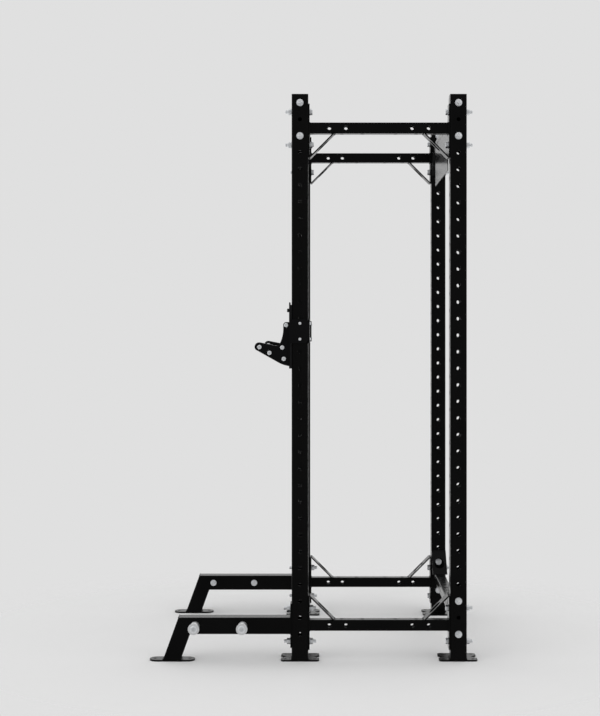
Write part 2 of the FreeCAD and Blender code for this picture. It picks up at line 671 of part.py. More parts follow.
def cradle():
    """Two steel cheeks, the block that they clamp, and the bolts across them."""
    half = CRADLE_WIDTH / 2
    block = cradle_plate(0, CHEEK - half, half - CHEEK)
    cheek = cradle_plate(CHEEK_INSET, half - CHEEK, half)
    bolts = []
    for place in CHEEK_BOLTS:
        outer, inner = from_plate(place) + Y * half, from_plate(place) - Y * half
        bolt = button_bolt((CHEEK_HEAD_D, CHEEK_HEAD_HEIGHT), CHEEK_SOCKET, outer, Y,
                           CHEEK_BOLT_D / 2, CRADLE_WIDTH + CHEEK_NUT_HEIGHT + CHEEK_BOLT_STUB)
        nut = hexagon(CHEEK_NUT_ACROSS, inner, Y * -1, CHEEK_NUT_HEIGHT)
        bore = rod(CHEEK_BOLT_D / 2 + THREAD_GAP, inner, Y * -1, CHEEK_NUT_HEIGHT)
        bolts += [bolt, nut.cut(bore)]
    return block, left_and_right(cheek), bolts


def front_plate_and_liner():
    """Front plate with the pin's pocket and hole, and the liner behind it."""
    plate = box((PLATE_FACE, -SIDE_PLATE_OUT, -PLATE_BOTTOM), (PLATE_BACK, SIDE_PLATE_OUT, PLATE_TOP))
    plate = plate.makeFillet(FLANGE_CORNER, edges_along(plate, X))
    start = Vector(PLATE_FACE + PLATE_WEB, 0, 0)
    pocket = rod(NOSE_D / 2 + POCKET_GAP, start, X, FRONT_PLATE + LINER)
    hole = rod(PIN_D / 2 + PIN_GAP, Vector(PLATE_FACE, 0, 0), X, FRONT_PLATE)
    liner = box((PLATE_BACK, -HALF, -PLATE_BOTTOM), (LINER_FACE, HALF, LINER_TOP))
    return plate.cut([pocket, hole]), liner.cut(pocket)


def collar():
    """Side plates with their liners, and the keeper plate across the back."""
    low, high = COLLAR_Z - COLLAR_HEIGHT / 2, COLLAR_Z + COLLAR_HEIGHT / 2
    back = KEEPER_FACE - COLLAR_CHAMFER
    outline = [(PLATE_BACK, low), (back, low), (KEEPER_FACE, low + COLLAR_CHAMFER),
               (KEEPER_FACE, high - COLLAR_CHAMFER), (back, high), (PLATE_BACK, high)]
    side = prism(outline, SIDE_PLATE_IN, SIDE_PLATE_OUT)
    liner = box((-HALF, SIDE_FACE, low), (HALF - COLLAR_CHAMFER, SIDE_PLATE_IN, high))
    keeper = box((KEEPER_FACE, -SIDE_PLATE_OUT, low), (KEEPER_FACE + KEEPER, SIDE_PLATE_OUT, high))
    keeper = keeper.makeFillet(FLANGE_CORNER, edges_along(keeper, X))
    middle = (SIDE_PLATE_IN + SIDE_PLATE_OUT) / 2
    side_holes = [rod(SCREW_D / 2, Vector(0, SIDE_FACE + SCREW_TIP_GAP, z), Y,
                      SIDE_LINER + SIDE_PLATE) for z in SCREW_HEIGHTS]
    back_holes = [rod(SCREW_D / 2, Vector(KEEPER_FACE + KEEPER, sign * middle, z), X * -1,
                      SCREW_LENGTH) for z in SCREW_HEIGHTS for sign in (-1, 1)]
    sides = [s.cut(back_holes) for s in left_and_right(side.cut(side_holes))]
    return sides, left_and_right(liner.cut(side_holes)), keeper.cut(back_holes)


def collar_screws():
    """Button-head screws of the side liners and of the keeper."""
    middle = (SIDE_PLATE_IN + SIDE_PLATE_OUT) / 2
    head_size = (SCREW_HEAD_D, SCREW_HEAD_HEIGHT)
    side_length = SIDE_PLATE + SIDE_LINER - SCREW_TIP_GAP
    screws = []
    for z in SCREW_HEIGHTS:
        outer = Vector(0, SIDE_PLATE_OUT, z)
        rear = Vector(KEEPER_FACE + KEEPER, middle, z)
        screws += left_and_right(
            button_bolt(head_size, SCREW_SOCKET, outer, Y, SCREW_D / 2, side_length))
        screws += left_and_right(
            button_bolt(head_size, SCREW_SOCKET, rear, X, SCREW_D / 2, SCREW_LENGTH))
    return screws


def pull_pin():
    """Knob, shaft and cupped nose; the nose fills the upright's hole when the pin is in."""
    tip = TUBE_WALL - HALF + NOSE_PAST_WALL
    shoulder = tip - NOSE_LENGTH
    knob = rod(KNOB_D / 2, Vector(PLATE_FACE - KNOB_GAP - KNOB_LENGTH, 0, 0), X, KNOB_LENGTH)
    knob = knob.makeFillet(KNOB_ROUND, [knob.Edges[0], knob.Edges[2]])
    shaft_start = PLATE_FACE - KNOB_GAP - KNOB_LENGTH / 2
    shaft = rod(PIN_D / 2, Vector(shaft_start, 0, 0), X, tip - NOSE_CHAMFER - shaft_start)
    nose = rod(NOSE_D / 2, Vector(shoulder, 0, 0), X, NOSE_LENGTH)
    nose = nose.makeChamfer(NOSE_CHAMFER, [nose.Edges[0]])
    recess = ring(recess_radius(), PIN_D / 2, Vector(shoulder, 0, 0), X, NOSE_RECESS)
    return nose.cut(recess).fuse([knob, shaft]).removeSplitter()


def recess_radius():
    return NOSE_D / 2 - SPRING_WIRE


def pin_spring():
    """Compression spring between the pocket's bottom and the nose's recess."""
    tip = TUBE_WALL - HALF + NOSE_PAST_WALL
    start = PLATE_FACE + PLATE_WEB + SPRING_GAP + SPRING_WIRE / 2
    end = tip - NOSE_LENGTH + NOSE_RECESS - SPRING_GAP - SPRING_WIRE / 2
    radius = recess_radius() - SPRING_GAP - SPRING_WIRE / 2
    rise = (end - start) / SPRING_TURNS
    helix = Part.makeHelix(rise, end - start, radius)
    section = Part.Wire(Part.makeCircle(SPRING_WIRE / 2, Vector(radius, 0, 0), Y))
    coil = Part.Wire(helix.Edges).makePipeShell([section], True, True)
    return laid_along(coil, Vector(start, 0, 0), X)


def save_jcups():
    plate, liner = front_plate_and_liner()
    sides, side_liners, keeper = collar()
    block, cheeks, bolts = cradle()
    pieces = {"front_plate": [plate], "front_liner": [liner], "side_plates": sides,
              "side_liners": side_liners, "keeper": [keeper], "screws": collar_screws(),
              "cradle_block": [block], "cheeks": cheeks, "cheek_bolts": bolts,
              "pull_pin": [pull_pin()], "pin_spring": [pin_spring()]}
    for side, sign in SIDES:
        place = Vector(FRONT_X, sign * SIDE_Y, step_height(JCUP_STEP))
        for name, solids in pieces.items():
            turned = solids if sign > 0 else [s.mirror(Vector(0, 0, 0), Y) for s in solids]
            save("jcup_" + name + "_" + side, [moved(s, place) for s in turned])


# ---- The whole cage ----
def save_uprights():
    post, plate, cap = upright(), base_plate(), end_cap()
    caps = []
    for end, x in (("front", FRONT_X), ("rear", REAR_X)):
        for side, sign in SIDES:
            place = Vector(x, sign * SIDE_Y, 0)
            foot = plate if sign > 0 else plate.mirror(Vector(0, 0, 0), Y)
            save("upright_" + end + "_" + side, moved(post, place))
            save("base_plate_" + end + "_" + side, moved(foot, place))
            caps.append(moved(cap, place))
    save("end_caps", caps)


def save_frame_fasteners():
    for kind, solids in frame_fasteners().items():
        save("frame_" + kind, solids)


os.makedirs("parts", exist_ok=True)
save_uprights()
save_side_rails()
save_rear_rails()
save_pull_up_bar()
save_frame_fasteners()
save_legs()
save_jcups()
print("front upright x", FRONT_X, "rear upright x", REAR_X, "top", TOP + CAP_RIM)
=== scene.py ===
# %% [markdown]
# # A power cage
# The cage is a bolted frame of black square tube with light plated fasteners. The imported CAD
# model is loaded first, as a fixed frame. It already holds every tube, plate, bolt and pin at
# its real size. What is left to make here is the finish of each surface, and small things
# that would be heavy in CAD: weld beads, threads, knurled grips and springs.

# %% Load the frame
import json
import math

import bmesh
import bpy
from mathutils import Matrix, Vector


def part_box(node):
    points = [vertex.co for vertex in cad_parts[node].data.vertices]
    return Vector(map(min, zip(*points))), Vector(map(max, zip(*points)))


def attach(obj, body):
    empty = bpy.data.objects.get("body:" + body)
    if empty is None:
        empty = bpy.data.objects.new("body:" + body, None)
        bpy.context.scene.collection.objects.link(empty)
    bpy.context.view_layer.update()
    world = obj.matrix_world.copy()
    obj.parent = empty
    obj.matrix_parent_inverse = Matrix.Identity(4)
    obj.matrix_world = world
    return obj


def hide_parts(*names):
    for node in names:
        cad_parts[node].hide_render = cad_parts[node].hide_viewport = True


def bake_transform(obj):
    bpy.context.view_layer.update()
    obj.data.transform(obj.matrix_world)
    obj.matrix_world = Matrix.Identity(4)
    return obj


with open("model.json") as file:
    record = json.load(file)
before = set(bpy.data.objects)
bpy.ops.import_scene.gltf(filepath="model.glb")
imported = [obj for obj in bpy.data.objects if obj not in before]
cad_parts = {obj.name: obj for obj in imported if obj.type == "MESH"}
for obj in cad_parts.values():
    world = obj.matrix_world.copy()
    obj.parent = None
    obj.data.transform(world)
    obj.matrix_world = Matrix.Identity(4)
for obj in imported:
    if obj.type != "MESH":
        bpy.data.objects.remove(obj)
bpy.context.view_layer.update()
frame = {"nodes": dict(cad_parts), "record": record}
nodes = frame["nodes"]

# %% [markdown]
# ## Colours and shader nodes
# Paint makers and screens give colours as sRGB hex values, but a shader wants linear light.
# One function does that change, and one small function adds a shader node with its settings
# and its links, so that every finish below reads as a short list of what feeds what.


# %% Colour and node helpers
def linear(hex_colour):
    """An sRGB hex colour as the linear red, green, blue and alpha that a shader wants."""
    channels = [int(hex_colour[i:i + 2], 16) / 255 for i in (0, 2, 4)]
    light = [c / 12.92 if c <= 0.04045 else ((c + 0.055) / 1.055) ** 2.4 for c in channels]
    return (*light, 1.0)


def add_node(tree, kind, settings=None, inputs=None):
    """Add a shader node; an input is a plain value or another node's output socket."""
    node = tree.nodes.new(kind)
    for name, value in (settings or {}).items():
        setattr(node, name, value)
    for name, value in (inputs or {}).items():
        if isinstance(value, bpy.types.NodeSocket):
            tree.links.new(value, node.inputs[name])
        else:
            node.inputs[name].default_value = value
    return node


def new_finish(name):
    """An empty material with its Principled shader, its tree and object coordinates."""
    material = bpy.data.materials.new(name)
    material.use_nodes = True
    tree = material.node_tree
    shader = tree.nodes["Principled BSDF"]
    place = add_node(tree, "ShaderNodeTexCoord").outputs["Object"]
    return material, tree, shader, place


def grains_per_metre(millimetres):
    """Noise scale whose grains are that many millimetres across."""
    return 1000.0 / millimetres


BANDS_PER_UNIT = 20 / math.tau     # bands in one metre of a wave texture whose scale is 1


# %% [markdown]
# ## Black textured powder coat
# Polyester powder is sprayed on dry and baked. A textured powder shrinks into small pebbles as
# it melts. Seen straight on it is nearly black, since its top layer is matte and mirrors
# little (a low specular level). Seen edge-on it glares pale, as every film does. So the
# shader keeps a dark colour and a fairly low roughness, and the pebbles only dimple it.


# %% Textured powder coat
STRAIGHT_ON_SHEEN = 0.07


def textured_powder_coat(name, colour, pebble_mm, pebble_depth_mm, roughness):
    material, tree, shader, place = new_finish(name)
    shader.inputs["IOR"].default_value = 1.5
    shader.inputs["Specular IOR Level"].default_value = STRAIGHT_ON_SHEEN
    pebbles = add_node(tree, "ShaderNodeTexNoise", inputs={
        "Vector": place, "Scale": grains_per_metre(pebble_mm), "Detail": 2.0, "Roughness": 0.5})
    cloud = add_node(tree, "ShaderNodeTexNoise", inputs={
        "Vector": place, "Scale": grains_per_metre(180.0), "Detail": 3.0})
    tint = add_node(tree, "ShaderNodeMapRange", inputs={
        "Value": cloud.outputs["Fac"], "From Min": 0.3, "From Max": 0.7,
        "To Min": 0.75, "To Max": 1.3})
    shade = add_node(tree, "ShaderNodeMix", {"data_type": "RGBA", "blend_type": "MULTIPLY"},
                     {"Factor": 1.0, "A": linear(colour), "B": tint.outputs["Result"]})
    tree.links.new(shade.outputs["Result"], shader.inputs["Base Color"])
    sheen = add_node(tree, "ShaderNodeMapRange", inputs={
        "Value": pebbles.outputs["Fac"], "From Min": 0.3, "From Max": 0.7,
        "To Min": roughness - 0.06, "To Max": roughness + 0.06})
    tree.links.new(sheen.outputs["Result"], shader.inputs["Roughness"])
    relief = add_node(tree, "ShaderNodeBump", inputs={
        "Height": pebbles.outputs["Fac"], "Distance": pebble_depth_mm / 1000, "Strength": 0.5})
    tree.links.new(relief.outputs["Normal"], shader.inputs["Normal"])
    return material


# Real pebbles are about 0.5 mm; they are drawn at 2 mm so that a whole-cage view shows them.
frame_coat = textured_powder_coat("textured_black_powder_coat", "050505", 2.0, 0.05, 0.25)
jcup_coat = textured_powder_coat("fine_black_powder_coat", "070708", 1.2, 0.03, 0.25)
print("powder coats", frame_coat.name, jcup_coat.name)

# %% [markdown]
# ## Bright zinc plate
# Frame bolts are forged steel, barrel-plated with zinc and sealed. The eye sees a pale, cool
# grey metal with a soft shine and slightly cloudy patches where the parts tumbled together.


# %% Zinc plate
def zinc_plate(name, colour, roughness):
    material, tree, shader, place = new_finish(name)
    shader.inputs["Metallic"].default_value = 1.0
    patches = add_node(tree, "ShaderNodeTexNoise", inputs={
        "Vector": place, "Scale": grains_per_metre(6.0), "Detail": 4.0, "Roughness": 0.6})
    cloudy = add_node(tree, "ShaderNodeMapRange", inputs={
        "Value": patches.outputs["Fac"], "From Min": 0.3, "From Max": 0.7,
        "To Min": 0.86, "To Max": 1.06})
    shade = add_node(tree, "ShaderNodeMix", {"data_type": "RGBA", "blend_type": "MULTIPLY"},
                     {"Factor": 1.0, "A": linear(colour), "B": cloudy.outputs["Result"]})
    tree.links.new(shade.outputs["Result"], shader.inputs["Base Color"])
    soft = add_node(tree, "ShaderNodeMapRange", inputs={
        "Value": patches.outputs["Fac"], "From Min": 0.3, "From Max": 0.7,
        "To Min": roughness + 0.08, "To Max": roughness - 0.08})
    tree.links.new(soft.outputs["Result"], shader.inputs["Roughness"])
    relief = add_node(tree, "ShaderNodeBump", inputs={
        "Height": patches.outputs["Fac"], "Distance": 0.00005, "Strength": 0.4})
    tree.links.new(relief.outputs["Normal"], shader.inputs["Normal"])
    return material


zinc = zinc_plate("barrel_plated_zinc", "e2e4e6", 0.5)
print("zinc finish", zinc.name)

# %% [markdown]
# ## Turned and plated peg steel
# The pegs and their discs are turned on a lathe before they are plated. The cutter leaves
# rings round the axis that catch the light. They are made here as bands of a wave texture,
# which spread out from the middle of a disc and stand side by side along a sleeve. A slight
# stretch of the noise along the rings breaks them up, as real tool marks are never even.


# %% Turned and plated peg steel
def turned_plate(name, colour, roughness, ring_mm):
    material, tree, shader, place = new_finish(name)
    shader.inputs["Metallic"].default_value = 1.0
    shader.inputs["Base Color"].default_value = linear(colour)
    rings = add_node(tree, "ShaderNodeTexWave", {"wave_type": "BANDS", "bands_direction": "Y"},
                     {"Vector": place, "Scale": grains_per_metre(ring_mm) / BANDS_PER_UNIT,
                      "Distortion": 0.6, "Detail": 3.0})
    wear = add_node(tree, "ShaderNodeTexNoise", inputs={
        "Vector": place, "Scale": grains_per_metre(5.0), "Detail": 4.0})
    height = add_node(tree, "ShaderNodeMix", {"data_type": "FLOAT"},
                      {"Factor": 0.4, "A": rings.outputs["Fac"], "B": wear.outputs["Fac"]})
    soft = add_node(tree, "ShaderNodeMapRange", inputs={
        "Value": height.outputs["Result"], "To Min": roughness - 0.1, "To Max": roughness + 0.1})
    tree.links.new(soft.outputs["Result"], shader.inputs["Roughness"])
    relief = add_node(tree, "ShaderNodeBump", inputs={
        "Height": height.outputs["Result"], "Distance": 0.00004, "Strength": 0.5})
    tree.links.new(relief.outputs["Normal"], shader.inputs["Normal"])
    return material


# The cutter's rings are 0.2 mm apart; they are drawn at 1.5 mm so that they show.
peg_plate = turned_plate("turned_plated_steel", "e6e7e8", 0.45, 1.5)
print("peg finish", peg_plate.name)

# %% [markdown]
# ## Polyethylene
# The J-cups are lined with ultra-high-weight polyethylene, machined from black sheet, and the
# caps are injection-moulded polyethylene. Both look waxy and a little greyer than the paint.
# The machined plastic keeps the fine parallel lines of the cutter.


# %% Machined and moulded polyethylene
def polyethylene(name, colour, roughness, line_mm, line_depth_mm):
    material, tree, shader, place = new_finish(name)
    shader.inputs["IOR"].default_value = 1.51
    shader.inputs["Specular IOR Level"].default_value = 0.25
    lines = add_node(tree, "ShaderNodeTexWave", {"wave_type": "BANDS", "bands_direction": "Z"},
                     {"Vector": place, "Scale": grains_per_metre(line_mm) / BANDS_PER_UNIT,
                      "Distortion": 1.5, "Detail": 2.0})
    grain = add_node(tree, "ShaderNodeTexNoise", inputs={
        "Vector": place, "Scale": grains_per_metre(1.5), "Detail": 3.0})
    height = add_node(tree, "ShaderNodeMix", {"data_type": "FLOAT"},
                      {"Factor": 0.5, "A": lines.outputs["Fac"], "B": grain.outputs["Fac"]})
    relief = add_node(tree, "ShaderNodeBump", inputs={
        "Height": height.outputs["Result"], "Distance": line_depth_mm / 1000, "Strength": 0.6})
    tree.links.new(relief.outputs["Normal"], shader.inputs["Normal"])
    shade = add_node(tree, "ShaderNodeMix", {"data_type": "RGBA", "blend_type": "MULTIPLY"},
                     {"Factor": 0.5, "A": linear(colour), "B": grain.outputs["Fac"]})
    tree.links.new(shade.outputs["Result"], shader.inputs["Base Color"])
    shader.inputs["Roughness"].default_value = roughness
    return material


wear_plastic = polyethylene("machined_black_polyethylene", "151516", 0.46, 2.0, 0.05)
cap_plastic = polyethylene("moulded_black_polyethylene", "121213", 0.5, 6.0, 0.02)
print("plastics", wear_plastic.name, cap_plastic.name)

# %% [markdown]
# ## Finish every CAD part
# Each part's name says which slot of the record it belongs to. Looking the slot up there,
# rather than listing the parts by hand, keeps a part from being left bare.

# %% Give each part its finish
FINISHES = {"frame_paint": frame_coat, "jcup_paint": jcup_coat, "zinc": zinc,
            "peg_steel": peg_plate, "wear_plastic": wear_plastic, "cap_plastic": cap_plastic}
for subpart in frame["record"]["subparts"]:
    part = nodes[subpart["node"]]
    part.data.materials.clear()
    part.data.materials.append(FINISHES[subpart["material_slot"]])

# %% [markdown]
# ## Where things are
# Every added piece is placed from the CAD parts' own boxes: the uprights give the corners of
# the cage, and hole rows are counted down from the top of a tube. So a change of size in the
# model carries the added pieces along.

# %% Places on the cage
MM = 0.001
PITCH = 75 * MM
SIDE_TOP, SIDE_BOTTOM = 2, 32          # heights of the rails, in pitches below the top
REAR_TOP, REAR_BOTTOM = 1.5, 31.5
SIDES = (("left", 1), ("right", -1))


def middle_of(node):
    low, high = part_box(node)
    return (low + high) / 2


front_low, front_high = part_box("upright_front_right")
rear_low, rear_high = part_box("upright_rear_right")
HALF_TUBE = (front_high.x - front_low.x) / 2
FRONT_X, REAR_X = (front_low.x + front_high.x) / 2, (rear_low.x + rear_high.x) / 2
SIDE_Y = -(front_low.y + front_high.y) / 2
TOP_Z, PLATE_Z = front_high.z, front_low.z


def hole_height(steps):
    return TOP_Z - steps * PITCH


print("uprights at x", round(FRONT_X, 4), round(REAR_X, 4), "and y", round(SIDE_Y, 4))

# %% [markdown]
# ## A mesh from rings
# Most small round things are a stack of rings joined into a skin: a weld bead's rings follow
# its joint, a thread's rings climb its bolt. One function skins any stack of rings.


# %% Skin a stack of rings
def skin_rings(mesh, rings, closed=False, capped=True):
    """Join rings of equally many points into a skin, and close its two ends."""
    made = [[mesh.verts.new(point) for point in ring] for ring in rings]
    pairs = list(zip(made, made[1:])) + ([(made[-1], made[0])] if closed else [])
    for near, far in pairs:
        for i in range(len(near)):
            j = (i + 1) % len(near)
            mesh.faces.new((near[i], near[j], far[j], far[i]))
    if capped and not closed:
        mesh.faces.new(reversed(made[0]))
        mesh.faces.new(made[-1])


def finished_piece(name, mesh, body, slot_name, smooth=True):
    """Turn a bmesh into an object that wears a slot's finish and rides on a body, if named."""
    bmesh.ops.recalc_face_normals(mesh, faces=mesh.faces)
    for face in mesh.faces:
        face.smooth = smooth
    data = bpy.data.meshes.new(name)
    mesh.to_mesh(data)
    mesh.free()
    data.materials.append(FINISHES[slot_name])
    piece = bpy.data.objects.new(name, data)
    bpy.context.scene.collection.objects.link(piece)
    if body:
        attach(piece, body)
    return piece


# %% [markdown]
# ## Weld beads
# The cage is welded before it is painted, so each bead is black like the tube. A welder moves
# along the joint in small steps, and each step leaves a scallop. The bead is a round skin that
# follows the joint's line, half sunk in the two faces, and its radius swells at every scallop.
# That is cheaper and looks better than cutting a real fillet out of the plates.

# %% Weld beads
SCALLOP = 4 * MM          # real scallops are 2 to 3 mm long; these are a little coarser
SWELL = (1.16, 0.98, 0.86)    # radius through one scallop, as shares of the bead's
BEAD_TIP = 0.6            # radius of a bead's two ends, as a share
BEAD_SIDES = 8
SHORT_OF_EDGE = 0.94      # beads stop just before the edge of a plate


def bead_along(mesh, corners, radius, closed=False):
    """A scalloped bead along straight runs from corner to corner."""
    stops = corners + corners[:1] if closed else corners
    path = []
    for start, end in zip(stops, stops[1:]):
        steps = max(2, round((end - start).length / SCALLOP * len(SWELL)))
        path += [start.lerp(end, step / steps) for step in range(steps)]
    if not closed:
        path.append(stops[-1])
    rings = []
    aside = (path[1] - path[0]).orthogonal()
    for i, point in enumerate(path):
        before = path[i - 1] if closed or i else point
        after = path[(i + 1) % len(path)] if closed or i + 1 < len(path) else point
        along = (after - before).normalized()
        aside = (aside - aside.dot(along) * along).normalized()
        across = along.cross(aside)
        swell = radius * SWELL[i % len(SWELL)]
        if not closed and i in (0, len(path) - 1):
            swell *= BEAD_TIP
        rings.append([point + swell * (math.cos(turn) * aside + math.sin(turn) * across)
                      for turn in (math.tau * k / BEAD_SIDES for k in range(BEAD_SIDES))])
    skin_rings(mesh, rings, closed)


def loop_round(centre, axis, half_one, half_two):
    """Corners of a rectangle round a tube that runs along axis 0, 1 or 2, for X, Y or Z."""
    one, two = Vector(), Vector()
    one[(axis + 1) % 3], two[(axis + 2) % 3] = half_one, half_two
    return [centre + a * one + b * two for a, b in ((1, 1), (-1, 1), (-1, -1), (1, -1))]


print("one bead has", BEAD_SIDES, "sides and a scallop every", SCALLOP, "m")

# %% [markdown]
# ## Beads of the rails
# A fabricator welds each rail right round where it meets its end plates, and each gusset strap
# along its two edges. A rail's box tells where its ends are, so one loop does all six rails.
# All their beads are one mesh, because they are one colour and never move apart.

# %% Beads of the rails
RAIL_BEAD = 2.6 * MM
STRAP, STRAP_REACH = 6 * MM, 108 * MM     # strap's thickness, and its reach along the rail


def rail_welds():
    """Beads round both ends of every square rail, and along the gussets' two edges."""
    mesh = bmesh.new()
    rails = [(f"side_rail_{level}_{side}", 0) for level in ("top", "bottom") for side, _ in SIDES]
    rails += [(f"rear_rail_{level}", 1) for level in ("top", "bottom")]
    for node, axis in rails:
        low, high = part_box(node)
        up = -1 if "top" in node else 1
        centre, half = (low + high) / 2, (high.z - low.z) / 2
        for end, inward in ((low[axis], 1), (high[axis], -1)):
            at = centre.copy()
            at[axis] = end
            bead_along(mesh, loop_round(at, axis, half, half), RAIL_BEAD, closed=True)
            toe, heel = at.copy(), at.copy()
            toe.z += up * half
            toe[axis] += inward * (STRAP_REACH + STRAP)
            heel.z += up * (STRAP_REACH + half)
            across = Vector((0, 1, 0)) if axis == 0 else Vector((1, 0, 0))
            aside, wide = [size * SHORT_OF_EDGE * across for size in (half, HALF_TUBE)]
            bead_along(mesh, [toe - aside, toe + aside], RAIL_BEAD)
            bead_along(mesh, [heel - wide, heel + wide], RAIL_BEAD)
    return finished_piece("weld_beads_rails", mesh, "frame", "frame_paint")


rail_beads = rail_welds()
print("rail beads", len(rail_beads.data.polygons))

# %% [markdown]
# ## Beads of the posts, bar, legs and panel
# A base plate is flush with its post's outer face, so its bead goes round the other three. The
# mitre between a leg's beam and strut is ground nearly flat, so its bead is thin. The panel is
# only stitched: short beads hold a thin sheet without the heat of a long one warping it.

# %% Beads of the posts, bar, legs and panel
POST_BEAD, BAR_BEAD, MITRE_BEAD = 3.2 * MM, 2.4 * MM, 1.3 * MM
BAR_RUNS = 24             # straight runs of the bead round the pull-up bar
STRUT_LEAN = math.radians(20)
STITCH, STITCH_STEP, STITCHES_A_SIDE = 40 * MM, 2 * PITCH, 2


def other_frame_welds():
    """Beads of the base plates, pull-up bar, legs and panel."""
    mesh = bmesh.new()
    for x in (FRONT_X, REAR_X):
        for _, sign in SIDES:
            inner, outer = sign * (SIDE_Y - HALF_TUBE), sign * (SIDE_Y + HALF_TUBE - POST_BEAD)
            bead_along(mesh, [Vector((x - HALF_TUBE, outer, PLATE_Z)),
                              Vector((x - HALF_TUBE, inner, PLATE_Z)),
                              Vector((x + HALF_TUBE, inner, PLATE_Z)),
                              Vector((x + HALF_TUBE, outer, PLATE_Z))], POST_BEAD)
    low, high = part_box("pull_up_bar")
    middle, radius = (low + high) / 2, (high.z - low.z) / 2
    for y in (low.y, high.y):
        turn = [math.tau * k / BAR_RUNS for k in range(BAR_RUNS)]
        bead_along(mesh, [Vector((middle.x + radius * math.cos(a), y,
                                  middle.z + radius * math.sin(a))) for a in turn],
                   BAR_BEAD, closed=True)
    for side, sign in SIDES:
        low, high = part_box(f"leg_beam_{side}")
        inset = [sign * SIDE_Y + way * HALF_TUBE * SHORT_OF_EDGE for way in (-1, 1)]
        for z in (low.z, high.z):
            bead_along(mesh, [Vector((high.x, y, z)) for y in inset], RAIL_BEAD)
        strut_low, strut_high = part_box(f"leg_strut_{side}")
        foot = middle_of(f"leg_foot_{side}")
        half_cut = HALF_TUBE / math.cos(STRUT_LEAN)
        for x in (foot.x - half_cut, foot.x + half_cut):
            bead_along(mesh, [Vector((x, y, strut_low.z)) for y in inset], RAIL_BEAD)
        lean = math.tan(STRUT_LEAN)
        top_x = foot.x - half_cut + (strut_high.z - strut_low.z) * lean
        low_x = foot.x + half_cut + (low.z - strut_low.z) * lean
        rim = [sign * SIDE_Y + way * HALF_TUBE for way in (-1, 1)]
        bead_along(mesh, [Vector((top_x, rim[0], strut_high.z)),
                          Vector((top_x, rim[1], strut_high.z)),
                          Vector((low_x, rim[1], low.z)),
                          Vector((low_x, rim[0], low.z))], MITRE_BEAD, closed=True)
    _, panel_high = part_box("rear_panel")
    rail_low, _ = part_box("rear_rail_top")
    for stitch in range(-STITCHES_A_SIDE, STITCHES_A_SIDE + 1):
        y = stitch * STITCH_STEP
        bead_along(mesh, [Vector((panel_high.x, y - STITCH / 2, rail_low.z)),
                          Vector((panel_high.x, y + STITCH / 2, rail_low.z))], RAIL_BEAD)
    return finished_piece("weld_beads_posts_and_legs", mesh, "frame", "frame_paint")


post_beads = other_frame_welds()
print("post, bar, leg and panel beads", len(post_beads.data.polygons))

# %% [markdown]
# ## Beads of the J-cups
# Each cheek is welded to the front plate down its whole outer edge, but for its ends. These
# beads ride on their own J-cup, so they slide up and down with it.

# %% Beads of the J-cups
CHEEK_BEAD = 2.0 * MM
EDGE_LEFT_BARE = 8 * MM   # of a cheek's edge, at both ends of its bead


def jcup_welds(side):
    """Beads down both cheeks of a J-cup, where they meet its front plate."""
    mesh = bmesh.new()
    low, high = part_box(f"jcup_cheeks_{side}")
    for y in (low.y, high.y):
        bead_along(mesh, [Vector((high.x, y, low.z + EDGE_LEFT_BARE)),
                          Vector((high.x, y, high.z - EDGE_LEFT_BARE))], CHEEK_BEAD)
    return finished_piece(f"weld_beads_jcup_{side}", mesh, f"jcup_{side}", "jcup_paint")


jcup_beads = [jcup_welds(side) for side, _ in SIDES]
print("J-cup beads", [len(piece.data.polygons) for piece in jcup_beads])

# %% [markdown]
# ## Threads
# The bolts' ends stand out of their nuts, and a plain end would look like a pin. The ridge is
# one skin: a ring's radius rises and falls as it goes round, and each ring is turned a little
# further than the last, so the ridge climbs as a helix. It sits on the CAD bolt's plain end.

# %% Threads
RIDGE_PITCH = 2 * MM
RIDGE_SIDES, RINGS_PER_PITCH = 24, 6
END_LEAD = 0.7            # how far the ridge dies away at its two ends
NUT_TOP = 16 * MM         # washer and nut
LEG_FLANGE = 6 * MM
FRAME_STUB, FRAME_CORE, FRAME_CREST = 12.4 * MM, 7.37 * MM, 8.0 * MM


def thread_on(mesh, seat, outward, length, core, crest):
    """Helical ridge from core radius to crest radius, from seat outward."""
    aside = outward.orthogonal().normalized()
    across = outward.cross(aside)
    rings = []
    count = round(length / RIDGE_PITCH * RINGS_PER_PITCH)
    for i in range(count + 1):
        along = i * length / count
        ring = []
        for k in range(RIDGE_SIDES):
            turn = k / RIDGE_SIDES
            phase = (along / RIDGE_PITCH - turn) % 1
            radius = core + (crest - core) * (1 - abs(2 * phase - 1))
            radius -= (crest - core) * END_LEAD * (i in (0, count))
            ring.append(seat + along * outward + radius * (
                math.cos(math.tau * turn) * aside + math.sin(math.tau * turn) * across))
        rings.append(ring)
    skin_rings(mesh, rings, capped=False)


def frame_threads():
    """Threads of the frame's bolts, and of both ends of the legs' studs."""
    mesh = bmesh.new()
    reach = HALF_TUBE + NUT_TOP
    for _, sign in SIDES:
        y = sign * SIDE_Y
        for offset in (-PITCH, PITCH):
            side_top = hole_height(SIDE_TOP) + offset
            bottom = hole_height(SIDE_BOTTOM) + offset
            ends = [(Vector((FRONT_X - reach, y, side_top)), Vector((-1, 0, 0))),
                    (Vector((REAR_X + reach, y, side_top)), Vector((1, 0, 0))),
                    (Vector((REAR_X + reach, y, bottom)), Vector((1, 0, 0))),
                    (Vector((FRONT_X + reach, y, bottom)), Vector((1, 0, 0))),
                    (Vector((FRONT_X - reach - LEG_FLANGE, y, bottom)), Vector((-1, 0, 0)))]
            for x, steps in ((FRONT_X, REAR_TOP), (REAR_X, REAR_TOP), (REAR_X, REAR_BOTTOM)):
                ends.append((Vector((x, y + sign * reach, hole_height(steps) + offset)),
                             Vector((0, sign, 0))))
            for seat, outward in ends:
                thread_on(mesh, seat, outward, FRAME_STUB, FRAME_CORE, FRAME_CREST)
    return finished_piece("frame_bolt_threads", mesh, "frame", "zinc")


threads = frame_threads()
print("threads", len(threads.data.polygons))

